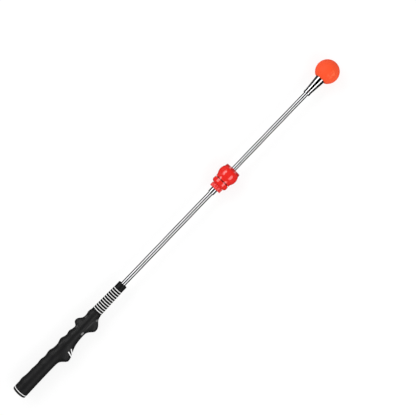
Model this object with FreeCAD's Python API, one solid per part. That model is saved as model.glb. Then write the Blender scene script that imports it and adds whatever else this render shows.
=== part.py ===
import FreeCAD, Part
import math
import os

# Swing trainer stick, in millimetres. The stick lies along +X from the butt of the grip to the ball,
# with the origin at the centre of the butt's end face. +Y is the side that the fingers wrap round,
# -Y is the palm side, and +Z is up.

# Lengths along the stick, in order from the butt
butt_cap_thickness = 3.7
butt_ring_width = 1.3
grip_length = 181.0
neck_length = 52.0
collar_length = 12.0
lower_tube_reach = 210.0
ferrule_length = 9.5
slider_travel = 174.1
strike_collar_length = 5.0
cone_length = 28.9

# Tubes
upper_tube_od = 8.4
tube_step = 0.3
tube_wall = 0.6
tube_foot_gap = 1.0
spigot_grip = 22.0
tip_plug_length = 16.0

# Grip
butt_radius = 12.8
butt_edge_round = 2.0
butt_ring_recess = 0.4
butt_spigot_length = 12.0
grip_start_radius = 12.85
grip_end_wall = 3.1
core_od = 13.0
core_into_collar = 6.0
cross_pin_d = 2.5
cross_pin_from_foot = 12.0
neck_start_wall = 2.9
neck_end_wall = 1.8
neck_ring_count = 11
neck_ring_width = 1.25
neck_ring_depth = 0.9
neck_ring_recess = 0.15
neck_ring_first = 4.2
neck_ring_pitch = 4.66
collar_wall = 1.6
collar_edge_round = 0.5

# Swells of the moulded grip: distance from its butt end, height, spread and power towards the butt,
# spread and power towards the ball, direction that it faces in degrees from +Y, and angular spread.
# The distances along are for a grip of the pattern length, and stretch with the grip.
grip_pattern_length = 181.0
finger_side = 0.0
palm_side = 180.0
grip_swells = [
    (17.1, 1.06, 6.5, 2, 5.5, 2, finger_side, 70.0),
    (39.2, 0.46, 4.2, 2, 3.8, 2, finger_side, 70.0),
    (60.2, 1.24, 5.2, 2, 5.1, 2, finger_side, 70.0),
    (80.4, 2.07, 6.75, 2, 6.75, 2, finger_side, 70.0),
    (108.4, 3.12, 7.05, 2, 7.5, 2, finger_side, 65.0),
    (127.2, 2.18, 5.35, 2, 5.8, 2, finger_side, 65.0),
    (148.8, 6.8, 6.45, 4, 8.05, 2.5, finger_side, 34.0),
    (173.4, 1.26, 4.1, 2, 5.05, 2, finger_side, 60.0),
    (90.1, 10.8, 8.55, 2, 19.1, 2, palm_side, 34.0),
    (157.4, 10.6, 9.2, 2, 13.5, 3, palm_side, 23.0),
]
grip_lean = 1.4
grip_lean_at = 116.7
grip_lean_spread = 49.0
grip_row_step = 2.5
grip_columns = 36

# Slits that leave a thin tongue beside the heel swell: where each opens and ends, from the butt end,
# and how far their top leans towards the ball, in degrees
slit_width = 1.8
slit_lines = [((98.3, 23.2), (101.1, 12.3)), ((102.1, 20.4), (107.8, 12.4))]
slit_lean = 10.8
slit_outrun = 8.0

# Stop ferrule, strike collar, cone and ball
ferrule_od = 11.5
ferrule_edge = 0.4
strike_collar_od = 12.0
strike_collar_edge = 0.5
cone_start_od = 11.6
cone_end_od = 17.2
ball_d = 41.0
ball_flat_od = 22.9
ball_skin = 7.0
ball_edge_round = 0.8
tube_into_ball = 14.0

# Slider, from its rear face
knob_length = 7.3
knob_gap = 0.6
rear_shell_length = 9.3
groove_width = 1.3
bulb_length = 22.8
rim_length = 3.7
knob_skirt = 1.65
knob_flutes = 18
knob_flute_depth = 0.6
knob_flute_d = 2.2
knob_plate = 1.0
knob_wall = 0.9
knob_flange_height = 1.3
knob_flange_thickness = 1.5
rear_shell_start_wall = 2.0
rear_shell_od = 28.8
rear_shell_end_od = 28.0
rear_shell_round_length = 4.2
round_middle_along = 0.32
round_middle_rise = 0.62
rear_lip = 2.2
shell_spigot_od = 23.4
shell_spigot_length = 4.5
shell_spigot_wall = 2.4
web_thickness = 1.8
bulb_start_od = 28.2
bulb_rise = 3.05
bulb_peak = 13.0
crown_radius = 16.5
flank_angle = 26.0
bulb_wall = 2.4
rim_od = 28.4
rim_edge = 1.0
rim_groove = 0.5
rim_plug_length = 6.0
hub_wall = 1.6
insert_od = 18.0
insert_length = 6.0
liner_wall = 1.1

# Magnet and its keyed carrier
magnet_thickness = 3.0
magnet_bore_gap = 0.4
magnet_seat_wall = 0.8
carrier_wall = 1.7
carrier_shelf = 1.0
carrier_travel = 4.0
key_tube_wall = 1.5
key_width = 2.4

# Clearances
running = 0.05
key_clearance = 0.15
free_clearance = 0.3
end_clearance = 0.2

# Stations along the stick that follow from the lengths
grip_x = butt_cap_thickness + butt_ring_width
neck_x = grip_x + grip_length
collar_x = neck_x + neck_length
collar_end_x = collar_x + collar_length
ferrule_x = collar_end_x + lower_tube_reach
slider_x = ferrule_x + ferrule_length
rear_shell_x = slider_x + knob_length + knob_gap
groove_x = rear_shell_x + rear_shell_length
bulb_x = groove_x + groove_width
rim_x = bulb_x + bulb_length
slider_end_x = rim_x + rim_length
strike_x = slider_end_x + slider_travel
cone_x = strike_x + strike_collar_length
ball_flat_x = cone_x + cone_length
ball_x = ball_flat_x + math.sqrt(ball_d ** 2 - ball_flat_od ** 2) / 2
core_x = butt_cap_thickness
core_end_x = collar_x + core_into_collar
tube_foot_x = butt_cap_thickness + butt_spigot_length + tube_foot_gap
tubes_meet_x = ferrule_x + ferrule_length / 2
tube_tip_x = ball_flat_x + tube_into_ball
insert_x = slider_end_x - insert_length
web_x = groove_x - web_thickness
magnet_x = slider_x + knob_plate + end_clearance
carrier_bore_x = magnet_x + magnet_thickness + carrier_shelf
carrier_end_x = web_x - carrier_travel - free_clearance
key_start_x = carrier_bore_x + carrier_travel + end_clearance

# Radii that follow from the tubes outwards
upper_tube_r = upper_tube_od / 2
lower_tube_r = (upper_tube_od + tube_step) / 2
core_r = core_od / 2
neck_start_r = core_r + neck_start_wall
neck_end_r = core_r + neck_end_wall
collar_r = core_r + collar_wall
grip_end_r = core_r + grip_end_wall
tube_pass_r = upper_tube_r + free_clearance
liner_outer_r = upper_tube_r + running + liner_wall
liner_seat_r = liner_outer_r + running
magnet_bore_r = upper_tube_r + magnet_bore_gap
key_tube_r = tube_pass_r + key_tube_wall
carrier_bore_r = key_tube_r + free_clearance
carrier_r = carrier_bore_r + carrier_wall
magnet_r = carrier_r - magnet_seat_wall
barrel_r = carrier_r + running
knob_neck_r = barrel_r + knob_wall
knob_flange_r = knob_neck_r + knob_flange_height
knob_r = knob_neck_r + knob_skirt
lip_r = knob_neck_r + running
rear_shell_start_r = lip_r + rear_shell_start_wall


def vec(x, y, z=0.0):
    return FreeCAD.Vector(x, y, z)


def revolve(edges):
    """Solid of revolution about X from edges of one closed outline in the XY plane."""
    face = Part.Face(Part.Wire(Part.__sortEdges__(edges)))
    return face.revolve(vec(0, 0), vec(1, 0), 360)


def lines(points, closed=True):
    """Straight edges through (station, radius) points."""
    ends = points[1:] + points[:1] if closed else points[1:]
    return [Part.LineSegment(vec(*a), vec(*b)).toShape() for a, b in zip(points, ends)]


def arc(start, middle, end):
    return Part.Arc(vec(*start), vec(*middle), vec(*end)).toShape()


def turned(points):
    """Solid of revolution about X from a straight-sided outline."""
    return revolve(lines(points))


def tube(x0, x1, outer_r, inner_r=0.0):
    return turned([(x0, inner_r), (x1, inner_r), (x1, outer_r), (x0, outer_r)])


def chamfered_tube(x0, x1, outer_r, inner_r, edge):
    """Tube with both outer edges chamfered."""
    return turned([(x0, inner_r), (x1, inner_r), (x1, outer_r - edge), (x1 - edge, outer_r),
                   (x0 + edge, outer_r), (x0, outer_r - edge)])


def rod_along_z(x, y, diameter, half_length):
    return Part.makeCylinder(diameter / 2, 2 * half_length, vec(x, y, -half_length), vec(0, 0, 1))


# Grip

def swell(offset, rise, rise_power, fall, fall_power):
    """Height share of a swell at a distance from its peak, steeper or flatter on each side."""
    spread, power = (rise, rise_power) if offset < 0 else (fall, fall_power)
    return math.exp(-(abs(offset) / spread) ** power)


def turn_between(a, b):
    """Smallest angle between two directions, in degrees."""
    return abs((a - b + 180.0) % 360.0 - 180.0)


def grip_radius(along, angle):
    """Outer radius of the moulded grip, at a distance from its butt end and an angle from +Y."""
    radius = grip_start_radius + (grip_end_r - grip_start_radius) * along / grip_length
    place = along * grip_pattern_length / grip_length
    lean = grip_lean * math.exp(-((place - grip_lean_at) / grip_lean_spread) ** 2)
    radius -= lean * math.cos(math.radians(angle))
    for at, height, rise, rise_power, fall, fall_power, facing, width in grip_swells:
        across = math.exp(-(turn_between(angle, facing) / width) ** 2)
        radius += height * across * swell(place - at, rise, rise_power, fall, fall_power)
    return radius


def grip_skin():
    """Closed solid of the grip's outer shape: a spline surface, periodic round the stick."""
    rows = round(grip_length / grip_row_step) + 1
    step = 360.0 / grip_columns
    pole_gain = 3.0 / (2.0 + math.cos(math.radians(step)))
    poles = []
    for i in range(rows):
        along = grip_length * i / (rows - 1)
        row = []
        for j in range(grip_columns):
            turn = math.radians(j * step)
            r = grip_radius(along, j * step) * pole_gain
            row.append(vec(grip_x + along, r * math.cos(turn), r * math.sin(turn)))
        poles.append(row)
    along_knots = list(range(rows - 2))
    along_mults = [4] + [1] * (rows - 4) + [4]
    round_knots = list(range(grip_columns + 1))
    round_mults = [1] * (grip_columns + 1)
    surface = Part.BSplineSurface()
    surface.buildFromPolesMultsKnots(poles, along_mults, round_mults, along_knots, round_knots,
                                     False, True, 3, 3)
    ends = [surface.uIso(u).toShape() for u in (along_knots[0], along_knots[-1])]
    caps = [Part.Face(Part.Wire([end])) for end in ends]
    shell = Part.Shell([surface.toShape()] + caps)
    shell.sewShape()
    solid = Part.Solid(shell)
    if solid.Volume < 0:
        solid.reverse()
    return solid


def slit(opening, root):
    """Cutter for one slit through the heel swell, from beyond the outline to its rounded root."""
    (x0, y0), (x1, y1) = opening, root
    x0, x1 = (x * grip_length / grip_pattern_length for x in (x0, x1))
    length = math.hypot(x1 - x0, y1 - y0)
    reach = length + slit_outrun
    depth = 4 * butt_radius
    cutter = Part.makeBox(reach, slit_width, depth, vec(0, -slit_width / 2, -depth / 2))
    cutter = cutter.fuse(rod_along_z(0, 0, slit_width, depth / 2))
    cutter.rotate(vec(0, 0), vec(0, 0, 1), math.degrees(math.atan2(y1 - y0, x0 - x1)))
    cutter.rotate(vec(0, 0), vec(0, 1), slit_lean)
    cutter.translate(vec(grip_x + x1, -y1))
    return cutter


def grip_sleeve():
    sleeve = grip_skin().cut(tube(grip_x - 1, neck_x + 1, core_r))
    for opening, root in slit_lines:
        sleeve = sleeve.cut(slit(opening, root))
    return sleeve


def butt_cap():
    """End cap with a rounded edge, and a spigot that plugs the core."""
    edge = butt_radius - butt_edge_round
    bend = butt_edge_round * (1 - math.sqrt(0.5))
    outline = lines([(0, edge), (0, 0), (butt_cap_thickness + butt_spigot_length, 0),
                     (butt_cap_thickness + butt_spigot_length, lower_tube_r),
                     (butt_cap_thickness, lower_tube_r), (butt_cap_thickness, butt_radius),
                     (butt_edge_round, butt_radius)], closed=False)
    outline.append(arc((butt_edge_round, butt_radius), (bend, butt_radius - bend), (0, edge)))
    return revolve(outline)


def butt_ring():
    return tube(butt_cap_thickness, grip_x, butt_radius - butt_ring_recess, core_r)


def grip_core():
    core = tube(core_x, core_end_x, core_r, lower_tube_r)
    return core.cut(cross_pin())


def cross_pin():
    """Pin across the core and the tube, its flat ends just inside the core's round surface."""
    half_length = math.sqrt(core_r ** 2 - (cross_pin_d / 2) ** 2)
    return rod_along_z(tube_foot_x + cross_pin_from_foot, 0, cross_pin_d, half_length)


def neck_radius(along):
    return neck_start_r + (neck_end_r - neck_start_r) * along / neck_length


def neck_ring(number, recess):
    """One ring of the neck, its face set below the black bands by the recess."""
    a = neck_ring_first + number * neck_ring_pitch - neck_ring_width / 2
    b = a + neck_ring_width
    floor = neck_radius((a + b) / 2) - neck_ring_depth
    return turned([(neck_x + a, floor), (neck_x + b, floor), (neck_x + b, neck_radius(b) - recess),
                   (neck_x + a, neck_radius(a) - recess)])


def neck_rings():
    return Part.makeCompound([neck_ring(i, neck_ring_recess) for i in range(neck_ring_count)])


def neck_sleeve():
    sleeve = turned([(neck_x, core_r), (collar_x, core_r), (collar_x, neck_end_r), (neck_x, neck_start_r)])
    over_cut = -1.0
    return sleeve.cut(Part.makeCompound([neck_ring(i, over_cut) for i in range(neck_ring_count)]))


def neck_collar():
    """Smooth end collar over the front of the core."""
    edge = collar_edge_round
    return turned([(collar_x, core_r), (core_end_x, core_r), (core_end_x, lower_tube_r),
                   (collar_end_x, lower_tube_r), (collar_end_x, collar_r - edge),
                   (collar_end_x - edge, collar_r), (collar_x, collar_r)])


# Shaft

def lower_tube():
    pipe = tube(tube_foot_x, tubes_meet_x, lower_tube_r, lower_tube_r - tube_wall)
    return pipe.cut(cross_pin())


def upper_tube():
    return tube(tubes_meet_x, tube_tip_x, upper_tube_r, upper_tube_r - tube_wall)


def joint_spigot():
    """Solid spigot inside both tubes where they meet."""
    lower_bore_r, upper_bore_r = lower_tube_r - tube_wall, upper_tube_r - tube_wall
    start, end = tubes_meet_x - spigot_grip, tubes_meet_x + spigot_grip
    return turned([(start, 0), (end, 0), (end, upper_bore_r), (tubes_meet_x, upper_bore_r),
                   (tubes_meet_x, lower_bore_r), (start, lower_bore_r)])


def stop_ferrule():
    """Plated steel ferrule over the joint: it stops the slider, and the magnet holds to it."""
    r, edge = ferrule_od / 2, ferrule_edge
    return turned([(ferrule_x, lower_tube_r), (tubes_meet_x, lower_tube_r), (tubes_meet_x, upper_tube_r),
                   (slider_x, upper_tube_r), (slider_x, r - edge), (slider_x - edge, r),
                   (ferrule_x + edge, r), (ferrule_x, r - edge)])


def strike_collar():
    return chamfered_tube(strike_x, cone_x, strike_collar_od / 2, upper_tube_r, strike_collar_edge)


def ball_cone():
    return turned([(cone_x, upper_tube_r), (ball_flat_x, upper_tube_r), (ball_flat_x, cone_end_od / 2),
                   (cone_x, cone_start_od / 2)])


def tip_plug():
    return tube(tube_tip_x - tip_plug_length, tube_tip_x, upper_tube_r - tube_wall)


def sphere(diameter):
    return Part.makeSphere(diameter / 2, vec(ball_x, 0))


def beyond_flat(shape):
    """The part of a ball that lies beyond its flat face."""
    size = 2 * ball_d
    return shape.common(Part.makeBox(size, size, size, vec(ball_flat_x, -size / 2, -size / 2)))


def core_outline():
    """Inner ball with a neck to the flat face."""
    return beyond_flat(sphere(ball_d - 2 * ball_skin).fuse(tube(ball_flat_x, ball_x, cone_end_od / 2)))


def ball_core():
    """The inner ball, bored for the tube's tip."""
    return core_outline().cut(tube(ball_flat_x - 1, tube_tip_x, upper_tube_r))


def ball():
    """The ball's skin, its edge rounded where the flat face meets the sphere."""
    skin = beyond_flat(sphere(ball_d))
    flat_edge = [e for e in skin.Edges
                 if e.Length > ball_flat_od and abs(e.BoundBox.XMax - ball_flat_x) < 1e-6]
    return skin.makeFillet(ball_edge_round, flat_edge).cut(core_outline())


# Slider

def slider_liner():
    """Sleeve that slides on the upper tube, trapped between the rear shell and the strike insert."""
    return tube(groove_x + end_clearance, insert_x - end_clearance, liner_outer_r, upper_tube_r + running)


def knob_body():
    """Adjuster before its flutes: face plate, threaded barrel, and a flange behind the rear shell's lip."""
    flange_x = rear_shell_x + rear_lip + end_clearance
    end_x = flange_x + knob_flange_thickness
    front = slider_x + knob_length
    plate = slider_x + knob_plate
    return turned([(slider_x, tube_pass_r), (plate, tube_pass_r), (plate, barrel_r), (end_x, barrel_r),
                   (end_x, knob_flange_r), (flange_x, knob_flange_r), (flange_x, knob_neck_r),
                   (front, knob_neck_r), (front, knob_r), (slider_x, knob_r)])


def adjuster_ring():
    middle_r = knob_r + knob_flute_d / 2 - knob_flute_depth
    flutes = []
    for i in range(knob_flutes):
        a = 2 * math.pi * i / knob_flutes
        middle = vec(slider_x - 1, middle_r * math.cos(a), middle_r * math.sin(a))
        flutes.append(Part.makeCylinder(knob_flute_d / 2, knob_length + 2, middle, vec(1, 0)))
    return knob_body().cut(Part.makeCompound(flutes))


def key_bars(width, x0, x1, outer_r):
    """Two bars across the stick's axis that key the carrier to the rear shell."""
    return Part.makeBox(x1 - x0, 2 * outer_r, width, vec(x0, -outer_r, -width / 2))


def rear_shell_keys():
    """Tube with two ribs that guides the magnet carrier and stops it turning."""
    ribs = key_bars(key_width, key_start_x, web_x, carrier_r - running)
    return tube(key_start_x, groove_x, key_tube_r).fuse(ribs)


def slider_rear_shell():
    """Rounded rear shell: lip round the adjuster, cavity, web with the key tube, spigot for the bulb."""
    r0, r1, r2 = rear_shell_start_r, rear_shell_od / 2, rear_shell_end_od / 2
    round_x = rear_shell_x + rear_shell_round_length
    bulge = (rear_shell_x + round_middle_along * rear_shell_round_length, r0 + round_middle_rise * (r1 - r0))
    cavity_r = knob_flange_r + free_clearance
    spigot_r = shell_spigot_od / 2
    spigot_x = groove_x + shell_spigot_length
    spigot_inner = spigot_r - shell_spigot_wall
    lip_x = rear_shell_x + rear_lip
    outline = [arc((rear_shell_x, r0), bulge, (round_x, r1))]
    outline += lines([(round_x, r1), (groove_x, r2), (groove_x, spigot_r), (spigot_x, spigot_r),
                      (spigot_x, spigot_inner), (groove_x, spigot_inner), (groove_x, 0), (web_x, 0),
                      (web_x, cavity_r), (lip_x, cavity_r), (lip_x, lip_r), (rear_shell_x, lip_r),
                      (rear_shell_x, r0)], closed=False)
    shell = revolve(outline).fuse(rear_shell_keys())
    return shell.cut(tube(key_start_x - 1, groove_x + 1, tube_pass_r))


def barrel_points(inset):
    """Corners of the bulb's outline, set in from its outer surface, from its rear end to its front end."""
    start_r = bulb_start_od / 2 - inset
    peak_x, peak_r = bulb_x + bulb_peak, start_r + bulb_rise
    slope = math.radians(flank_angle)
    half_crown = (crown_radius - inset) * math.sin(slope)
    flank_r = peak_r - (crown_radius - inset) * (1 - math.cos(slope))
    foot_x = peak_x - half_crown - (flank_r - start_r) / math.tan(slope)
    end_r = flank_r - (rim_x - peak_x - half_crown) * math.tan(slope)
    return [(bulb_x, start_r), (foot_x, start_r), (peak_x - half_crown, flank_r), (peak_x, peak_r),
            (peak_x + half_crown, flank_r), (rim_x, end_r)]


def barrel(inset):
    """Solid barrel: a straight lead-in, a sloping flank, a round crown and a flank down to the rim."""
    start, foot, crown_start, peak, crown_end, end = barrel_points(inset)
    rear = lines([(bulb_x, 0), start, foot, crown_start], closed=False)
    front = lines([crown_end, end, (rim_x, 0), (bulb_x, 0)], closed=False)
    return revolve(rear + [arc(crown_start, peak, crown_end)] + front)


def slider_bulb():
    """Barrel-shaped front shell, hollow, with a web that runs on the liner."""
    spigot_end = groove_x + shell_spigot_length
    cavity = barrel(bulb_wall).common(tube(spigot_end + web_thickness, rim_x, bulb_start_od))
    bores = tube(bulb_x - 1, spigot_end, shell_spigot_od / 2).fuse(tube(bulb_x, rim_x, liner_seat_r))
    return barrel(0.0).cut(cavity).cut(bores)


def slider_rim():
    """Front cap: visible rim band, plug into the bulb, and hub on the liner with the insert's pocket."""
    r, plug_r, pocket_r = rim_od / 2, barrel_points(bulb_wall)[-1][1], insert_od / 2
    plug_x = rim_x - rim_plug_length
    hub_r = liner_seat_r + hub_wall
    band_x = rim_x + rim_groove
    return turned([(plug_x, liner_seat_r), (insert_x, liner_seat_r), (insert_x, pocket_r),
                   (slider_end_x, pocket_r), (slider_end_x, r - rim_edge), (slider_end_x - rim_edge, r),
                   (band_x, r), (band_x, r - rim_groove), (rim_x, r - rim_groove), (rim_x, plug_r),
                   (plug_x + web_thickness, plug_r), (plug_x + web_thickness, hub_r), (plug_x, hub_r)])


def strike_insert():
    return tube(insert_x, slider_end_x, insert_od / 2, tube_pass_r)


def magnet_carrier():
    """Threaded cup for the magnet: the adjuster moves it, and its slots ride on the rear shell's ribs."""
    shelf_x = magnet_x + magnet_thickness
    cup = turned([(magnet_x, magnet_r), (shelf_x, magnet_r), (shelf_x, magnet_bore_r),
                  (carrier_bore_x, magnet_bore_r), (carrier_bore_x, carrier_bore_r),
                  (carrier_end_x, carrier_bore_r), (carrier_end_x, carrier_r), (magnet_x, carrier_r)])
    return cup.cut(key_bars(key_width + 2 * key_clearance, carrier_bore_x, carrier_end_x + 1, carrier_r + 1))


def ring_magnet():
    return tube(magnet_x, magnet_x + magnet_thickness, magnet_r, magnet_bore_r)


nodes = {
    "butt_cap": butt_cap,
    "butt_ring": butt_ring,
    "grip_sleeve": grip_sleeve,
    "grip_core": grip_core,
    "cross_pin": cross_pin,
    "neck_sleeve": neck_sleeve,
    "neck_rings": neck_rings,
    "neck_collar": neck_collar,
    "lower_tube": lower_tube,
    "joint_spigot": joint_spigot,
    "stop_ferrule": stop_ferrule,
    "upper_tube": upper_tube,
    "strike_collar": strike_collar,
    "ball_cone": ball_cone,
    "tip_plug": tip_plug,
    "ball_core": ball_core,
    "ball": ball,
    "slider_liner": slider_liner,
    "slider_rear_shell": slider_rear_shell,
    "slider_bulb": slider_bulb,
    "slider_rim": slider_rim,
    "strike_insert": strike_insert,
    "adjuster_ring": adjuster_ring,
    "magnet_carrier": magnet_carrier,
    "ring_magnet": ring_magnet,
}

os.makedirs("parts", exist_ok=True)
for node, make in nodes.items():
    shape = make()
    shape.exportStep("parts/" + node + ".step")
    print(node, "valid" if shape.isValid() else "NOT VALID", "solids", len(shape.Solids),
          "volume", round(shape.Volume, 1))
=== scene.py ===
# %% [markdown]
# # A swing trainer stick
# The real stick has a moulded black grip, a thin chromed shaft, a red plastic slider that clicks along
# it, a chromed cone and an orange ball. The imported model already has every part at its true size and
# place. This lesson keeps the parts that never show, remakes each part that does show with finer
# edges, and gives them all their finishes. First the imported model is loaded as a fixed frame.

# %% Load the frame
import math
import bmesh
import bpy
from mathutils import Matrix, Vector


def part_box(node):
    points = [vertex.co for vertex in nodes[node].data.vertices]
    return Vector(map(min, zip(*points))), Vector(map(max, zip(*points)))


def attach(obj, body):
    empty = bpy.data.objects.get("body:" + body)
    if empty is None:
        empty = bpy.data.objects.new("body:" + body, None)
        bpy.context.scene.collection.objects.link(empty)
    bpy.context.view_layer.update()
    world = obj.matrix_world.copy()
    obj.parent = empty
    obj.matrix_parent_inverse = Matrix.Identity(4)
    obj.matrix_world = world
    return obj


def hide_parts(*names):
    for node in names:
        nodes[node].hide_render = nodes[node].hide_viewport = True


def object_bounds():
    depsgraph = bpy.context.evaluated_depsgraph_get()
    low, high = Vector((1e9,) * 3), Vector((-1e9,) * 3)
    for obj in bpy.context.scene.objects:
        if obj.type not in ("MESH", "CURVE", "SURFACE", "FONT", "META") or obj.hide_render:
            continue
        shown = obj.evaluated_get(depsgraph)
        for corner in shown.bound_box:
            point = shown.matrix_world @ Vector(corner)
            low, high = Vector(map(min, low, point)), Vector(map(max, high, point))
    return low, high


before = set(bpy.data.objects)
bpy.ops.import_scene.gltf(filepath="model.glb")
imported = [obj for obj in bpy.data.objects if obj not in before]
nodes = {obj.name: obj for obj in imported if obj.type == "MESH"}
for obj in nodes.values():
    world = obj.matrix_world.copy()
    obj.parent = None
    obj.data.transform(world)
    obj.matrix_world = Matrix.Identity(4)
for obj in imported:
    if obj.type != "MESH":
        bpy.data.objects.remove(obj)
cad_low, cad_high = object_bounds()
MM = 0.001

# %% [markdown]
# ## Camera
# The stick lies along X. The camera looks straight down on it from 1.75 m and is rolled, so that the
# ball ends up at the top right. A long lens at that distance bends the picture only a little, as in a
# catalogue shot. The lens is worked out from how much of the floor should fill the picture.

# %% Camera
CAMERA_HEIGHT = 1.75
PICTURE_WIDTH = 0.6908
STICK_SLOPE = math.radians(46.14)
SENSOR = 36.0

camera_data = bpy.data.cameras.new("camera")
camera_data.sensor_width = SENSOR
camera_data.lens = SENSOR * CAMERA_HEIGHT / PICTURE_WIDTH
camera = bpy.data.objects.new("camera", camera_data)
camera.location = (0.4389, -0.0140, CAMERA_HEIGHT)
camera.rotation_euler = (0.0, 0.0, -STICK_SLOPE)
bpy.context.scene.collection.objects.link(camera)
bpy.context.scene.camera = camera
bpy.context.scene.view_settings.view_transform = "Standard"
print("camera: lens", round(camera_data.lens, 1), "mm")

# %% [markdown]
# ## Shader maths
# Node trees are easier to read as sums. `Value` wraps one number socket, and `+`, `-`, `*` and `/` on
# it add Math nodes. Colours can't go through a Math node, which would turn them grey, so they are
# mixed with `Paint.mix`. Every other node comes from `Paint.node`, which takes the node's type, its
# settings, and the values or links of its sockets.

# %% Shader helpers
class Value:
    """A number socket that can be used in sums."""

    def __init__(self, paint, socket):
        self.paint = paint
        self.socket = socket

    def math(self, operation, *others):
        made = self.paint.node("ShaderNodeMath", {"operation": operation}, dict(enumerate((self, *others))))
        return Value(self.paint, made.outputs[0])

    def __add__(self, other):
        return self.math("ADD", other)

    def __sub__(self, other):
        return self.math("SUBTRACT", other)

    def __mul__(self, other):
        return self.math("MULTIPLY", other)

    def __truediv__(self, other):
        return self.math("DIVIDE", other)

    def __rsub__(self, other):
        return (self * -1.0) + other

    __radd__ = __add__
    __rmul__ = __mul__


class Paint:
    """A material with a Principled shader, and short ways to add nodes to it."""

    def __init__(self, name, **sockets):
        self.material = bpy.data.materials.new(name)
        self.material.use_nodes = True
        self.tree = self.material.node_tree
        self.tree.nodes.clear()
        self.shader = self.node("ShaderNodeBsdfPrincipled", {}, {})
        output = self.node("ShaderNodeOutputMaterial", {}, {"Surface": self.shader.outputs[0]})
        output.is_active_output = True
        self.place = self.node("ShaderNodeTexCoord", {}, {}).outputs["Object"]
        self.set(**sockets)

    def put(self, socket, value):
        if isinstance(value, Value):
            value = value.socket
        if isinstance(value, bpy.types.NodeSocket):
            self.tree.links.new(value, socket)
        elif socket.type == "RGBA":
            socket.default_value = (*value, 1.0)
        else:
            socket.default_value = value

    def set(self, **sockets):
        """Sets the shader's sockets, named with _ for a space."""
        for name, value in sockets.items():
            self.put(self.shader.inputs[name.replace("_", " ")], value)

    def node(self, kind, settings, sockets):
        made = self.tree.nodes.new(kind)
        for name, value in settings.items():
            if name == "stops":
                ramp = made.color_ramp
                for at, shade in value:
                    element = ramp.elements.new(at)
                    element.color = (*shade, 1.0)
                ramp.elements.remove(ramp.elements[0])
                ramp.elements.remove(ramp.elements[-1])
            else:
                setattr(made, name, value)
        for name, value in sockets.items():
            self.put(made.inputs[name], value)
        return made

    def noise(self, size, detail=2.0, stretch=(1.0, 1.0, 1.0)):
        """Noise from 0 to 1 with grains of about `size` millimetres, drawn out along an axis by `stretch`."""
        scale = tuple(1.0 / (size * MM * s) for s in stretch)
        mapping = self.node("ShaderNodeMapping", {}, {"Vector": self.place, "Scale": scale})
        sockets = {"Vector": mapping.outputs[0], "Scale": 1.0, "Detail": detail}
        made = self.node("ShaderNodeTexNoise", {}, sockets)
        return Value(self, made.outputs["Fac"])

    def cells(self, size):
        """Distance from the nearest of many points set about `size` millimetres apart."""
        made = self.node("ShaderNodeTexVoronoi", {}, {"Vector": self.place, "Scale": 1.0 / (size * MM)})
        return Value(self, made.outputs["Distance"])

    def axis(self, name):
        """One coordinate of the surface, in millimetres."""
        split = self.node("ShaderNodeSeparateXYZ", {}, {"Vector": self.place})
        return Value(self, split.outputs[name]) * (1.0 / MM)

    def spot(self, x, y, long, wide):
        """1 at a place seen from above, fading to 0 at the edge of an oval round it."""
        along, across = (self.axis("X") - x) / long, (self.axis("Y") - y) / wide
        return 1.0 - self.ramp(along * along + across * across, 0.0, 1.0)

    def ramp(self, value, low, high):
        """0 below `low`, 1 above `high`, and smooth between them."""
        made = self.node("ShaderNodeMapRange", {"interpolation_type": "SMOOTHSTEP"},
                         {"Value": value, "From Min": low, "From Max": high})
        return Value(self, made.outputs["Result"])

    def mix(self, factor, first, second):
        """One colour where the factor is 0 and another where it is 1."""
        made = self.node("ShaderNodeMix", {"data_type": "RGBA"}, {"Factor": factor})
        self.put(made.inputs[6], first)
        self.put(made.inputs[7], second)
        return made.outputs[2]

    def bump(self, height, depth):
        """Raises the surface by `depth` millimetres where the height is 1."""
        sockets = {"Height": height, "Distance": depth * MM}
        made = self.node("ShaderNodeBump", {}, sockets)
        self.set(Normal=made.outputs[0])


print("shader helpers ready")

# %% [markdown]
# ## The finishes
# Each finish is one short function. Polished chrome is a metal with a little roughness that varies in
# long fine lines, as the polishing wheel leaves it. The upper tube is duller, because the slider rubs
# along it. The red plastic is glossy and the orange is satin, both with the faint unevenness of a
# moulding. The rubber is nearly black and dull, with a moulded stipple.

# %% Chrome, steel and nickel
def chrome(name, line_length, dullness):
    paint = Paint(name, Metallic=1.0)
    lines = paint.noise(0.25, detail=3.0, stretch=(line_length, 1.0, 1.0))
    smears = paint.noise(14.0, detail=3.0)
    paint.set(Base_Color=paint.mix(smears, (0.69, 0.695, 0.705), (0.65, 0.655, 0.67)))
    paint.set(Roughness=lines * 0.03 + smears * 0.03 + dullness)
    paint.bump(lines, 0.004)
    return paint.material


def turned_steel():
    paint = Paint("turned_steel", Metallic=1.0)
    rings = paint.noise(0.35, detail=2.0, stretch=(1.0, 30.0, 30.0))
    paint.set(Base_Color=paint.mix(rings, (0.50, 0.50, 0.51), (0.62, 0.62, 0.63)))
    paint.set(Roughness=rings * 0.15 + 0.22)
    paint.bump(rings, 0.01)
    return paint.material


def nickel():
    paint = Paint("nickel", Metallic=1.0)
    haze = paint.noise(3.0, detail=4.0)
    paint.set(Base_Color=paint.mix(haze, (0.62, 0.61, 0.59), (0.55, 0.55, 0.54)))
    paint.set(Roughness=haze * 0.12 + 0.14)
    paint.bump(haze, 0.006)
    return paint.material


tube_chrome = chrome("tube_chrome", 60.0, dullness=0.01)
worn_chrome = chrome("worn_chrome", 60.0, dullness=0.12)
turned_chrome = chrome("turned_chrome", 1.0, dullness=0.02)
steel = turned_steel()
magnet_nickel = nickel()
print("metals:", tube_chrome.name, worn_chrome.name, turned_chrome.name, steel.name, magnet_nickel.name)


# %% Plastics
GROOVE_WIDTH, GROOVE_FADE = 1.3, 0.2
# painted shade for the slider's groove: its dark colour, and how fully it covers the groove floor
GROOVE_PAINTED_SHADE, GROOVE_SHADE_COVER = (0.05, 0.002, 0.002), 0.9
PEEL_DEPTH = 0.006
GRAIN_SIZE, GRAIN_DEPTH, GRAIN_GLINT_COVER = 3.2, 0.12, 0.6
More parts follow.
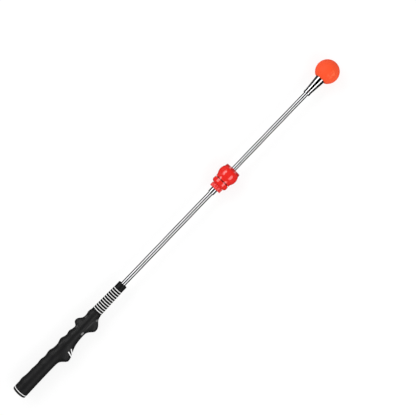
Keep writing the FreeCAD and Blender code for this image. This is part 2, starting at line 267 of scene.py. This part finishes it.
# place on the ball seen from above, its length and width, and the lighter colour of the raised grains,
# painted there as a highlight on them
BALL_GRAIN_GLINT_PATCH = (738.0, -10.0, 12.0, 9.0, (1.0, 0.17, 0.06))


def plastic(name, colour, deep_colour, gloss, grain=0.6, specular=0.5, coat=0.0, groove=None, patch=None):
    """A moulded plastic: mottled between two close colours, with a faint orange-peel surface.

    Painted shade darkens a groove, which is given as its first and last station in millimetres: a dark colour
    is mixed in there for the shadow inside it. A patch is an oval place, seen from above, with coarser raised
    grains, painted lighter as a highlight on them."""
    paint = Paint(name, Specular_IOR_Level=specular, Coat_Weight=coat, Coat_Roughness=0.08)
    cloud = paint.noise(9.0, detail=4.0)
    peel = paint.noise(grain, detail=2.0)
    skin = paint.mix(cloud, colour, deep_colour)
    if groove:
        start, end = groove
        station = paint.axis("X")
        # painted shade: the groove floor is darkened in colour in place of the shadow inside it
        groove_shade = paint.ramp(station, start - GROOVE_FADE, start) * paint.ramp(station, end + GROOVE_FADE, end)
        skin = paint.mix(groove_shade * GROOVE_SHADE_COVER, skin, GROOVE_PAINTED_SHADE)
    height, depth = peel, PEEL_DEPTH
    if patch:
        *place, grain_glint_colour = patch
        # painted highlight: the raised grains are real bumps, and their lighter colour in this patch stands
        # in for the glints on them
        grains = paint.spot(*place) * paint.ramp(paint.noise(GRAIN_SIZE, detail=1.0), 0.48, 0.62)
        skin = paint.mix(grains * GRAIN_GLINT_COVER, skin, grain_glint_colour)
        height, depth = peel * (PEEL_DEPTH / GRAIN_DEPTH) + grains, GRAIN_DEPTH
    paint.set(Base_Color=skin)
    paint.set(Roughness=cloud * 0.10 + peel * 0.06 + (1.0 - gloss - 0.08))
    paint.bump(height, depth)
    return paint.material


groove_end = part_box("slider_bulb")[0][0] / MM
slider_red = plastic("slider_red", (0.90, 0.018, 0.010), (0.82, 0.013, 0.008), gloss=0.80,
                     specular=0.9, coat=0.5, groove=(groove_end - GROOVE_WIDTH, groove_end))
rim_red = plastic("rim_red", (0.55, 0.020, 0.018), (0.47, 0.015, 0.014), gloss=0.80,
                  specular=0.9, coat=0.5)
ball_orange = plastic("ball_orange", (0.97, 0.088, 0.020), (0.93, 0.075, 0.015), gloss=0.40,
                      grain=0.9, specular=0.25, patch=BALL_GRAIN_GLINT_PATCH)
black_satin = plastic("black_satin", (0.008, 0.008, 0.0085), (0.005, 0.005, 0.0055), gloss=0.50,
                      specular=0.2)
white_satin = plastic("white_satin", (0.95, 0.95, 0.94), (0.91, 0.91, 0.90), gloss=0.55)
core_grey = plastic("core_grey", (0.12, 0.12, 0.13), (0.09, 0.09, 0.10), gloss=0.45)
liner_white = plastic("liner_white", (0.85, 0.84, 0.80), (0.78, 0.77, 0.73), gloss=0.55)
print("plastics:", slider_red.name, rim_red.name, ball_orange.name, black_satin.name, white_satin.name)


# %% Rubber
# place along the stick and across it, length, width and grey of each painted sheen spot, seen from above:
# painted highlights on the wing's crease, the wing roots and the swells
PAINTED_SHEEN_SPOTS = [
    (162.0, -8.0, 17.0, 1.0, 0.035), (145.0, -8.4, 4.0, 2.0, 0.26), (147.0, 7.0, 4.0, 2.2, 0.05),
    (169.5, 7.0, 4.0, 1.8, 0.06), (177.0, -11.0, 3.0, 2.6, 0.14), (108.0, 6.5, 6.0, 2.0, 0.03),
]


def rubber():
    """Dull black rubber: a moulded stipple, clouded gloss, and lighter spots painted as sheen where the
    crease and swells catch the light.
    """
    paint = Paint("grip_rubber", Specular_IOR_Level=0.38)
    bloom = paint.noise(22.0, detail=4.0)
    stipple = paint.cells(0.9)
    grain = paint.noise(0.35, detail=2.0)
    skin = paint.mix(bloom, (0.006, 0.006, 0.0064), (0.010, 0.010, 0.0106))
    # painted sheen: lighter greys are mixed in where the crease and swells catch the light, as seen from
    # above
    for x, y, long, wide, shade in PAINTED_SHEEN_SPOTS:
        skin = paint.mix(paint.spot(x, y, long, wide), skin, (shade, shade, shade))
    paint.set(Base_Color=skin)
    paint.set(Roughness=bloom * 0.16 + grain * 0.08 + 0.40)
    paint.bump(stipple * 0.7 + grain * 0.3, 0.05)
    return paint.material


grip_rubber = rubber()
print("rubber:", grip_rubber.name)

# %% [markdown]
# ## Making round parts
# Nearly every part of the stick is turned or moulded round the same line, so one helper makes them:
# it draws half of the part's section as a closed outline of (station, radius) points, and `spin`
# sweeps it round X. The corners are then bevelled, because a real edge always catches a little light.
# A Weighted Normal modifier keeps the flat faces flat where they meet the rounded corners.

# %% Helpers for round parts
AROUND = 128
X_AXIS = (1.0, 0.0, 0.0)


def corner_edges(bm, angle):
    """Edges where two faces meet at more than this many degrees."""
    limit = math.radians(angle)
    return [e for e in bm.edges if len(e.link_faces) == 2 and e.calc_face_angle() > limit]


def spun(outline, steps=AROUND):
    """A bmesh of the closed outline, in millimetres, swept once round X."""
    bm = bmesh.new()
    verts = [bm.verts.new((x * MM, r * MM, 0.0)) for x, r in outline]
    edges = [bm.edges.new(pair) for pair in zip(verts, verts[1:] + verts[:1])]
    bmesh.ops.spin(bm, geom=verts + edges, cent=(0, 0, 0), axis=X_AXIS, angle=math.tau, steps=steps,
                   use_merge=True)
    bmesh.ops.remove_doubles(bm, verts=bm.verts, dist=0.001 * MM)
    bmesh.ops.dissolve_degenerate(bm, edges=bm.edges, dist=0.0005 * MM)
    bmesh.ops.recalc_face_normals(bm, faces=bm.faces)
    return bm


def soften(bm, width, segments=3, angle=28.0):
    """Rounds every corner sharper than the angle."""
    bmesh.ops.bevel(bm, geom=corner_edges(bm, angle), offset=width * MM, offset_type="OFFSET", affect="EDGES",
                    segments=segments, profile=0.5, material=-1, clamp_overlap=True)


def finished(name, bm, material, body, slot, *stands_for):
    """Turns a bmesh into a finished piece on a body, in place of CAD nodes."""
    for face in bm.faces:
        face.smooth = True
    for edge in bm.edges:
        edge.smooth = True
    for edge in corner_edges(bm, 40.0):
        edge.smooth = False
    mesh = bpy.data.meshes.new(name)
    bm.to_mesh(mesh)
    bm.free()
    piece = bpy.data.objects.new(name, mesh)
    bpy.context.scene.collection.objects.link(piece)
    mesh.materials.append(material)
    weighted = piece.modifiers.new("weighted", "WEIGHTED_NORMAL")
    weighted.keep_sharp = True
    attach(piece, body)
    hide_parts(*stands_for)
    print(name + ":", len(mesh.polygons), "faces on", body)
    return piece


def span(node):
    """First and last station of a CAD node, and its largest radius, in millimetres."""
    low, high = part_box(node)
    return low[0] / MM, high[0] / MM, high[2] / MM


def curve_points(start, middle, end, steps):
    """Points along the circle through three (station, radius) points."""
    (ax, ay), (bx, by), (cx, cy) = start, middle, end
    a2, b2, c2 = ax * ax + ay * ay, bx * bx + by * by, cx * cx + cy * cy
    d = 2 * (ax * (by - cy) + bx * (cy - ay) + cx * (ay - by))
    ux = (a2 * (by - cy) + b2 * (cy - ay) + c2 * (ay - by)) / d
    uy = (a2 * (cx - bx) + b2 * (ax - cx) + c2 * (bx - ax)) / d
    radius = math.hypot(ax - ux, ay - uy)
    first, mid, last = (math.atan2(y - uy, x - ux) for x, y in (start, middle, end))
    sweep, to_middle = (last - first) % math.tau, (mid - first) % math.tau
    if to_middle > sweep:
        sweep -= math.tau
    turns = [first + sweep * i / steps for i in range(steps + 1)]
    return [(ux + radius * math.cos(t), uy + radius * math.sin(t)) for t in turns]


print("helpers for round parts ready")

# %% [markdown]
# ## The grip
# A training grip is moulded to put the hands in the right place. Its fingers' side has a row of
# ridges, its palm side has a high swell under the heel of the hand with two slits that leave a thin
# tongue, and a wing on each side guides the thumbs. A plain tube of fine quads is spun first. Then
# every point is moved out to a radius that depends on how far along the grip it is and which way it
# faces, so each swell is one line in a list. This keeps the mesh even, which a sculpt would not.

# %% Grip sizes
FINGERS, PALM = 0.0, 180.0
GRIP_START_RADIUS, GRIP_END_RADIUS = 12.85, 9.6
GRIP_LEAN, GRIP_LEAN_AT, GRIP_LEAN_SPREAD = 1.4, 116.7, 49.0
CORE_RADIUS = span("grip_core")[2]
# place, height, spread and power towards the butt, spread and power towards the ball, facing, width
GRIP_SWELLS = [
    (17.1, 1.06, 6.5, 2, 5.5, 2, FINGERS, 70.0),
    (39.2, 0.46, 4.2, 2, 3.8, 2, FINGERS, 70.0),
    (60.2, 1.24, 5.2, 2, 5.1, 2, FINGERS, 70.0),
    (80.4, 2.07, 6.75, 2, 6.75, 2, FINGERS, 70.0),
    (108.4, 3.12, 7.05, 2, 7.5, 2, FINGERS, 65.0),
    (127.2, 2.18, 5.35, 2, 5.8, 2, FINGERS, 65.0),
    (148.8, 6.8, 6.45, 4, 8.05, 2.5, FINGERS, 34.0),
    (173.4, 1.26, 4.1, 2, 5.05, 2, FINGERS, 60.0),
    (90.1, 10.8, 8.55, 2, 19.1, 2, PALM, 34.0),
    (157.4, 10.6, 9.2, 2, 13.5, 3, PALM, 23.0),
]
grip_x0, grip_x1, _ = span("grip_sleeve")
grip_length = grip_x1 - grip_x0
print("grip:", round(grip_length, 1), "mm long")


# %% Grip shape
def grip_radius(along, angle):
    """Radius of the grip's skin, in millimetres, at a distance along it and an angle from +Y."""
    radius = GRIP_START_RADIUS + (GRIP_END_RADIUS - GRIP_START_RADIUS) * along / grip_length
    lean = GRIP_LEAN * math.exp(-((along - GRIP_LEAN_AT) / GRIP_LEAN_SPREAD) ** 2)
    radius -= lean * math.cos(math.radians(angle))
    for at, height, rise, rise_power, fall, fall_power, facing, width in GRIP_SWELLS:
        turn = abs((angle - facing + 180.0) % 360.0 - 180.0)
        spread, power = (rise, rise_power) if along < at else (fall, fall_power)
        radius += height * math.exp(-(turn / width) ** 2) * math.exp(-(abs(along - at) / spread) ** power)
    return radius


GRIP_ROWS = 300
GRIP_AROUND = 160
GRIP_EDGE = 0.5


def grip_blank():
    """A closed tube of fine quads, its skin waiting at a radius well clear of its bore."""
    skin = 2 * CORE_RADIUS
    rows = [(grip_x0 + grip_length * i / GRIP_ROWS, skin) for i in range(GRIP_ROWS + 1)]
    return spun(rows + [(grip_x1, CORE_RADIUS), (grip_x0, CORE_RADIUS)], GRIP_AROUND)


def shape_grip(bm):
    """Moves each point of the skin out to the grip's radius there, and rounds both end rims."""
    for vert in bm.verts:
        across = math.hypot(vert.co.y, vert.co.z) / MM
        if across > 1.5 * CORE_RADIUS:
            along = vert.co.x / MM - grip_x0
            angle = math.degrees(math.atan2(vert.co.z, vert.co.y))
            from_end = min(along, grip_length - along)
            drop = max(0.0, GRIP_EDGE - from_end) ** 2 / GRIP_EDGE
            scale = (grip_radius(along, angle) - drop) / across
            vert.co.y *= scale
            vert.co.z *= scale


grip_bm = grip_blank()
shape_grip(grip_bm)
print("grip skin:", len(grip_bm.faces), "faces")

# %% [markdown]
# The slits are cut with two thin rounded plates and a Boolean modifier, which is applied at once so
# that the grip stays one plain mesh. Moving points could not make them, because they lean over.

# %% Slits in the heel swell
SLIT_WIDTH = 1.8
SLIT_LEAN = math.radians(10.8)
SLIT_OUTRUN = 8.0
SLIT_HEIGHT = 60.0
SLIT_LINES = [((98.3, 23.2), (101.1, 12.3)), ((102.1, 20.4), (107.8, 12.4))]


def slit_cutter(opening, root):
    """A plate as wide as the slit, with a round edge at its root, reaching out past the swell."""
    (x0, y0), (x1, y1) = opening, root
    length = math.hypot(x1 - x0, y1 - y0) + SLIT_OUTRUN
    bm = bmesh.new()
    bmesh.ops.create_cube(bm, size=1.0)
    bmesh.ops.scale(bm, vec=(length * MM, SLIT_WIDTH * MM, SLIT_HEIGHT * MM), verts=bm.verts)
    bmesh.ops.translate(bm, vec=(length / 2 * MM, 0, 0), verts=bm.verts)
    root_edges = [e for e in bm.edges if all(v.co.x < 0.1 * MM for v in e.verts)
                  and abs(e.verts[0].co.z - e.verts[1].co.z) > MM]
    bmesh.ops.bevel(bm, geom=root_edges, offset=SLIT_WIDTH * 0.49 * MM, offset_type="OFFSET", affect="EDGES",
                    segments=6, profile=0.5, material=-1)
    turn = math.atan2(y1 - y0, x0 - x1)
    turning = Matrix.Rotation(SLIT_LEAN, 3, "Y") @ Matrix.Rotation(turn, 3, "Z")
    bmesh.ops.rotate(bm, cent=(0, 0, 0), matrix=turning, verts=bm.verts)
    bmesh.ops.translate(bm, vec=((grip_x0 + x1) * MM, -y1 * MM, 0), verts=bm.verts)
    mesh = bpy.data.meshes.new("slit_cutter")
    bm.to_mesh(mesh)
    bm.free()
    cutter = bpy.data.objects.new("slit_cutter", mesh)
    bpy.context.scene.collection.objects.link(cutter)
    return cutter


def cut_slits(bm):
    """A new bmesh of the grip with the slits cut through it."""
    mesh = bpy.data.meshes.new("grip_blank")
    bm.to_mesh(mesh)
    bm.free()
    blank = bpy.data.objects.new("grip_blank", mesh)
    bpy.context.scene.collection.objects.link(blank)
    cutters = [slit_cutter(*line) for line in SLIT_LINES]
    for cutter in cutters:
        cut = blank.modifiers.new("slit", "BOOLEAN")
        cut.operation = "DIFFERENCE"
        cut.solver = "EXACT"
        cut.object = cutter
    bpy.context.view_layer.update()
    result = bpy.data.meshes.new_from_object(blank.evaluated_get(bpy.context.evaluated_depsgraph_get()))
    out = bmesh.new()
    out.from_mesh(result)
    for thing in [blank, *cutters]:
        bpy.data.objects.remove(thing)
    return out


grip_bm = cut_slits(grip_bm)
bmesh.ops.remove_doubles(grip_bm, verts=grip_bm.verts, dist=0.002 * MM)
grip = finished("grip", grip_bm, grip_rubber, "stick", "grip_rubber", "grip_sleeve")

# %% [markdown]
# ## The butt, the neck and the end collar
# The butt is closed by a black cap with a rounded edge and a slightly dished middle, and a white ring
# shows behind it. In front of the grip the neck carries eleven white rings. The neck is drawn as one
# outline with a groove for every ring, and the corners of the black bands between them are softened.

# %% Butt cap and ring
cap_x0, _, cap_r = span("butt_cap")
ring_x0, ring_x1, ring_r = span("butt_ring")
CAP_DISH = 0.25
CAP_EDGE = 2.0

cap_bm = spun([(cap_x0 + CAP_DISH, 0.0), (cap_x0, cap_r * 0.2), (cap_x0, cap_r),
               (ring_x0, cap_r), (ring_x0, 0.0)])
soften(cap_bm, CAP_EDGE, segments=6, angle=60.0)
finished("butt_end_cap", cap_bm, black_satin, "stick", "cap_plastic", "butt_cap")

ring_bm = spun([(ring_x0, CORE_RADIUS), (ring_x1, CORE_RADIUS), (ring_x1, ring_r), (ring_x0, ring_r)])
soften(ring_bm, 0.2)
finished("butt_white_ring", ring_bm, white_satin, "stick", "white_plastic", "butt_ring")

# %% Neck bands and rings
neck_x0, neck_x1, neck_r0 = span("neck_sleeve")
NECK_R1 = 8.3
RING_COUNT, RING_WIDTH, RING_PITCH, RING_FIRST = 11, 1.25, 4.66, 4.2
RING_DEPTH, RING_RECESS = 0.9, 0.15


def neck_radius(station):
    """The neck tapers evenly from the grip to the end collar."""
    return neck_r0 + (NECK_R1 - neck_r0) * (station - neck_x0) / (neck_x1 - neck_x0)


ring_edges = [(neck_x0 + RING_FIRST + i * RING_PITCH - RING_WIDTH / 2,
               neck_x0 + RING_FIRST + i * RING_PITCH + RING_WIDTH / 2) for i in range(RING_COUNT)]
neck_outline = [(neck_x0, CORE_RADIUS), (neck_x0, neck_radius(neck_x0))]
for start, end in ring_edges:
    floor = neck_radius(start) - RING_DEPTH
    neck_outline += [(start, neck_radius(start)), (start, floor), (end, floor), (end, neck_radius(end))]
neck_outline += [(neck_x1, neck_radius(neck_x1)), (neck_x1, CORE_RADIUS)]
neck_bm = spun(neck_outline)
soften(neck_bm, 0.3)
finished("neck_bands", neck_bm, black_satin, "stick", "cap_plastic", "neck_sleeve")

rings_bm = bmesh.new()
for start, end in ring_edges:
    floor = neck_radius(start) - RING_DEPTH
    top = neck_radius(end) - RING_RECESS
    one = spun([(start, floor), (end, floor), (end, top), (start, top)])
    mesh = bpy.data.meshes.new("one_ring")
    one.to_mesh(mesh)
    one.free()
    rings_bm.from_mesh(mesh)
soften(rings_bm, 0.15, segments=2)
finished("neck_white_rings", rings_bm, white_satin, "stick", "white_plastic", "neck_rings")

# %% End collar
collar_x0, collar_x1, collar_r = span("neck_collar")
TUBE_R_LOW = span("lower_tube")[2]
collar_bm = spun([(collar_x0, TUBE_R_LOW), (collar_x1, TUBE_R_LOW),
                  (collar_x1, collar_r), (collar_x0, collar_r)])
soften(collar_bm, 0.6, segments=4)
finished("neck_end_collar", collar_bm, black_satin, "stick", "cap_plastic", "neck_collar")

# %% [markdown]
# ## The shaft
# Two chromed tubes meet under the ferrule. They are plain spun tubes with hollow ends, and the
# ferrule, the strike collar and the cone are turned parts with small rounded edges.

# %% Tubes
WALL = 0.6
for name, node, finish in (("chromed_lower_tube", "lower_tube", tube_chrome),
                           ("chromed_upper_tube", "upper_tube", worn_chrome)):
    x0, x1, r = span(node)
    tube_bm = spun([(x0, r - WALL), (x1, r - WALL), (x1, r), (x0, r)])
    soften(tube_bm, 0.1, segments=2)
    finished(name, tube_bm, finish, "stick", "tube_chrome", node)

# %% Ferrule, strike collar and cone
TUBE_R_UP = span("upper_tube")[2]
ferrule_x0, ferrule_x1, ferrule_r = span("stop_ferrule")
ferrule_bm = spun([(ferrule_x0, TUBE_R_LOW), (ferrule_x1, TUBE_R_UP),
                   (ferrule_x1, ferrule_r), (ferrule_x0, ferrule_r)])
soften(ferrule_bm, 0.4)
finished("chromed_ferrule", ferrule_bm, turned_chrome, "stick", "tube_chrome", "stop_ferrule")

strike_x0, strike_x1, strike_r = span("strike_collar")
strike_bm = spun([(strike_x0, TUBE_R_UP), (strike_x1, TUBE_R_UP),
                  (strike_x1, strike_r), (strike_x0, strike_r)])
soften(strike_bm, 0.45)
finished("chromed_strike_collar", strike_bm, turned_chrome, "stick", "tube_chrome", "strike_collar")

CONE_START_R = 5.8
cone_x0, cone_x1, cone_r = span("ball_cone")
cone_bm = spun([(cone_x0, TUBE_R_UP), (cone_x1, TUBE_R_UP), (cone_x1, cone_r), (cone_x0, CONE_START_R)])
soften(cone_bm, 0.2)
finished("chromed_cone", cone_bm, turned_chrome, "stick", "tube_chrome", "ball_cone")

# %% [markdown]
# ## The ball
# The ball is moulded with a flat face where the cone enters. Its outline is one arc from the edge of
# the flat to the far pole, so spinning it gives rings of even quads with no seam.

# %% Ball
ball_x0, ball_x1, ball_r = span("ball")
BALL_RINGS = 48
BALL_EDGE = 0.7
SEAT_DEPTH, SEAT_TUCK = 2.0, 0.5
ball_centre = ball_x1 - ball_r
flat_half = math.sqrt(ball_r ** 2 - (ball_centre - ball_x0) ** 2)
flat_turn = math.atan2(flat_half, ball_x0 - ball_centre)
ball_turns = [flat_turn * (1 - i / BALL_RINGS) for i in range(BALL_RINGS + 1)]
ball_outline = [(ball_centre + ball_r * math.cos(t), ball_r * math.sin(t)) for t in ball_turns[:-1]]
ball_outline += [(ball_centre + ball_r, 0.0), (ball_x0 + SEAT_DEPTH, 0.0),
                 (ball_x0 + SEAT_DEPTH, cone_r - SEAT_TUCK), (ball_x0, cone_r)]
ball_bm = spun(ball_outline)
soften(ball_bm, BALL_EDGE, segments=4)
finished("orange_ball", ball_bm, ball_orange, "stick", "ball_orange", "ball")

# %% [markdown]
# ## The slider
# The slider has four red mouldings: a fluted adjuster ring, a rounded rear shell, a barrel-shaped
# bulb and a darker rim. Only their outsides and open ends are drawn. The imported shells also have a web,
# a keyed tube and a cavity for the magnet inside, which are left out here. The adjuster is solid round
# the tube, so the magnet and its cup lie inside its plastic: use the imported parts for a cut-away.

# %% Rear shell, bulb and rim
_, rear_x1, rear_r = span("slider_rear_shell")
bulb_x0, bulb_x1, _ = span("slider_bulb")
_, rim_x1, rim_r = span("slider_rim")
insert_r = span("strike_insert")[2]
LIP_R = 9.0
GROOVE_X = bulb_x0 - GROOVE_WIDTH
REAR_START_R, REAR_END_R, REAR_ROUND = 11.0, 14.0, 4.2
# the middle of the rounding, as fractions of its length and of its rise
ROUND_ALONG, ROUND_RISE = 0.32, 0.62
SPIGOT_R = 11.7
KNOB_LENGTH, KNOB_GAP = 7.3, 0.6
rear_face = span("adjuster_ring")[0] + (KNOB_LENGTH + KNOB_GAP)
rear_middle = (rear_face + ROUND_ALONG * REAR_ROUND, REAR_START_R + ROUND_RISE * (rear_r - REAR_START_R))
rear_arc = curve_points((rear_face, REAR_START_R), rear_middle, (rear_face + REAR_ROUND, rear_r), 14)
rear_bm = spun([(rear_face, LIP_R)] + rear_arc
               + [(GROOVE_X, REAR_END_R), (GROOVE_X, SPIGOT_R), (rear_x1, SPIGOT_R), (rear_x1, LIP_R)])
soften(rear_bm, 0.15)
finished("red_rear_shell", rear_bm, slider_red, "slider", "slider_red", "slider_rear_shell")

BULB_START_R, BULB_RISE, BULB_PEAK, BULB_WALL = 14.1, 3.05, 13.0, 2.4
CROWN_RADIUS, FLANK_ANGLE = 16.5, math.radians(26.0)
half_crown = CROWN_RADIUS * math.sin(FLANK_ANGLE)
peak_x, peak_r = bulb_x0 + BULB_PEAK, BULB_START_R + BULB_RISE
flank_r = peak_r - CROWN_RADIUS * (1 - math.cos(FLANK_ANGLE))
foot_x = peak_x - half_crown - (flank_r - BULB_START_R) / math.tan(FLANK_ANGLE)
bulb_end_r = flank_r - (bulb_x1 - peak_x - half_crown) * math.tan(FLANK_ANGLE)
crown = curve_points((peak_x - half_crown, flank_r), (peak_x, peak_r), (peak_x + half_crown, flank_r), 28)
bulb_bm = spun([(bulb_x0, BULB_START_R), (foot_x, BULB_START_R)] + crown
               + [(bulb_x1, bulb_end_r), (bulb_x1, bulb_end_r - BULB_WALL), (bulb_x0, SPIGOT_R)])
soften(bulb_bm, 0.15)
finished("red_bulb", bulb_bm, slider_red, "slider", "slider_red", "slider_bulb")

RIM_GROOVE, RIM_EDGE = 0.5, 1.0
rim_face = bulb_x1
band_x = rim_face + RIM_GROOVE
rim_bm = spun([(rim_face, insert_r), (rim_x1, insert_r), (rim_x1, rim_r - RIM_EDGE),
               (rim_x1 - RIM_EDGE, rim_r), (band_x, rim_r), (band_x, rim_r - RIM_GROOVE),
               (rim_face, rim_r - RIM_GROOVE)])
soften(rim_bm, 0.15)
finished("red_rim", rim_bm, rim_red, "slider", "slider_red", "slider_rim")


# %% Adjuster ring
knob_x0 = span("adjuster_ring")[0]
KNOB_R, KNOB_BORE = 10.6, 4.5
KNOB_NECK_R = 8.95
# the neck reaches this far into the rear shell's lip
KNOB_NECK_REACH = 1.0
FLUTES = 18
FLUTE_DEPTH, FLUTE_POWER = 0.6, 0.7
knob_bm = spun([(knob_x0, KNOB_BORE), (knob_x0, KNOB_R)]
               + [(knob_x0 + KNOB_LENGTH * i / 6, KNOB_R) for i in range(1, 7)]
               + [(knob_x0 + KNOB_LENGTH, KNOB_NECK_R), (rear_face + KNOB_NECK_REACH, KNOB_NECK_R),
                  (rear_face + KNOB_NECK_REACH, KNOB_BORE)],
               steps=FLUTES * 12)
soften(knob_bm, 0.5, segments=4)
for vert in knob_bm.verts:
    across = math.hypot(vert.co.y, vert.co.z) / MM
    if across > KNOB_NECK_R + 0.3 and vert.co.x / MM < knob_x0 + KNOB_LENGTH + 0.01:
        wave = math.cos(FLUTES * math.atan2(vert.co.z, vert.co.y))
        dip = FLUTE_DEPTH * max(0.0, -wave) ** FLUTE_POWER
        vert.co.y *= (across - dip) / across
        vert.co.z *= (across - dip) / across
finished("red_adjuster", knob_bm, slider_red, "adjuster", "slider_red", "adjuster_ring")

# %% [markdown]
# ## The parts that stay
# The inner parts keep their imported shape. Each gets a finish of its own, because the slider's travel
# and a look into an end can show them.

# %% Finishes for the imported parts
KEPT = {
    "grip_core": core_grey, "cross_pin": steel, "joint_spigot": steel, "tip_plug": core_grey,
    "ball_core": core_grey, "slider_liner": liner_white, "strike_insert": steel,
    "magnet_carrier": core_grey, "ring_magnet": magnet_nickel,
}
for name, material in KEPT.items():
    mesh = nodes[name].data
    mesh.materials.clear()
    mesh.materials.append(material)
print("kept parts:", len(KEPT))

# %% [markdown]
# ## Floor and light
# The stick lies on a white table that glows, so that hardly any shadow shows. A long softbox stands on
# either side of the camera, with a dark gap between the two, and a fainter one lies lower on each side.
# A round chromed tube turns the gap into the thin dark line along its middle. Two black cards lie on
# the table and draw the dark lines near its edges. The cards are seen only in reflections.

# %% Stage
FLOOR_GAP = 0.0002
FLOOR_Z = cad_low[2] - FLOOR_GAP
STAGE_CENTRE_X = 0.44


def stage_plane(name, size_x, size_y, centre, material):
    bm = bmesh.new()
    bmesh.ops.create_grid(bm, x_segments=1, y_segments=1, size=0.5)
    bmesh.ops.scale(bm, vec=(size_x, size_y, 1.0), verts=bm.verts)
    bmesh.ops.translate(bm, vec=centre, verts=bm.verts)
    mesh = bpy.data.meshes.new(name)
    bm.to_mesh(mesh)
    bm.free()
    plane = bpy.data.objects.new(name, mesh)
    bpy.context.scene.collection.objects.link(plane)
    mesh.materials.append(material)
    return plane


TABLE_SIZE, TABLE_GLOW = 12.0, 0.80
table = Paint("table_white", Roughness=0.9, Specular_IOR_Level=0.1, Emission_Strength=TABLE_GLOW)
table.set(Base_Color=table.mix(table.noise(300.0), (0.22, 0.22, 0.22), (0.20, 0.20, 0.20)))
table.set(Emission_Color=(1.0, 1.0, 1.0))
stage_plane("table", TABLE_SIZE, TABLE_SIZE, (STAGE_CENTRE_X, 0.0, FLOOR_Z), table.material)

CARD_LENGTH, CARD_REACH, CARD_LIFT = 3.0, 1.3, 0.0001
for name, side, glow in (("card_left", 1.0, 0.05), ("card_right", -1.0, 0.01)):
    card = Paint(name, Base_Color=(0.005, 0.005, 0.005), Roughness=1.0, Specular_IOR_Level=0.0,
                 Emission_Color=(1.0, 1.0, 1.0), Emission_Strength=glow)
    centre = (STAGE_CENTRE_X, side * CARD_REACH / 2, FLOOR_Z + CARD_LIFT)
    plane = stage_plane(name, CARD_LENGTH, CARD_REACH, centre, card.material)
    plane.visible_camera = False
    plane.visible_diffuse = False
    plane.visible_shadow = False
print("stage ready")


# %% Lights
def softbox(name, lean, distance, length, width, brightness):
    """A rectangular light above the stick, leaning by some degrees towards +Y, facing the stick."""
    light = bpy.data.lights.new(name, "AREA")
    light.shape = "RECTANGLE"
    light.size = length
    light.size_y = width
    light.energy = brightness * math.pi * length * width
    lamp = bpy.data.objects.new(name, light)
    turn = math.radians(lean)
    lamp.location = (STAGE_CENTRE_X, distance * math.sin(turn), distance * math.cos(turn))
    lamp.rotation_euler = (-turn, 0.0, 0.0)
    lamp.visible_camera = False
    bpy.context.scene.collection.objects.link(lamp)
    return lamp


# lean in degrees, distance, length and width of each kind of softbox
MAIN_BOX, FILL_BOX = (47.0, 1.4, 1.4, 0.66), (72.0, 1.6, 2.4, 0.40)
STUDIO_GREY = (0.68, 0.68, 0.68, 1.0)
lamps = []
for side, main_brightness, fill_brightness in ((1.0, 2.8, 0.12), (-1.0, 2.4, 0.05)):
    lamps.append(softbox("main_light", side * MAIN_BOX[0], *MAIN_BOX[1:], main_brightness))
    lamps.append(softbox("fill_light", side * FILL_BOX[0], *FILL_BOX[1:], fill_brightness))
world = bpy.data.worlds.new("studio")
world.use_nodes = True
world.node_tree.nodes["Background"].inputs["Color"].default_value = STUDIO_GREY
world.cycles_visibility.glossy = False
bpy.context.scene.world = world
print("lights:", len(lamps))
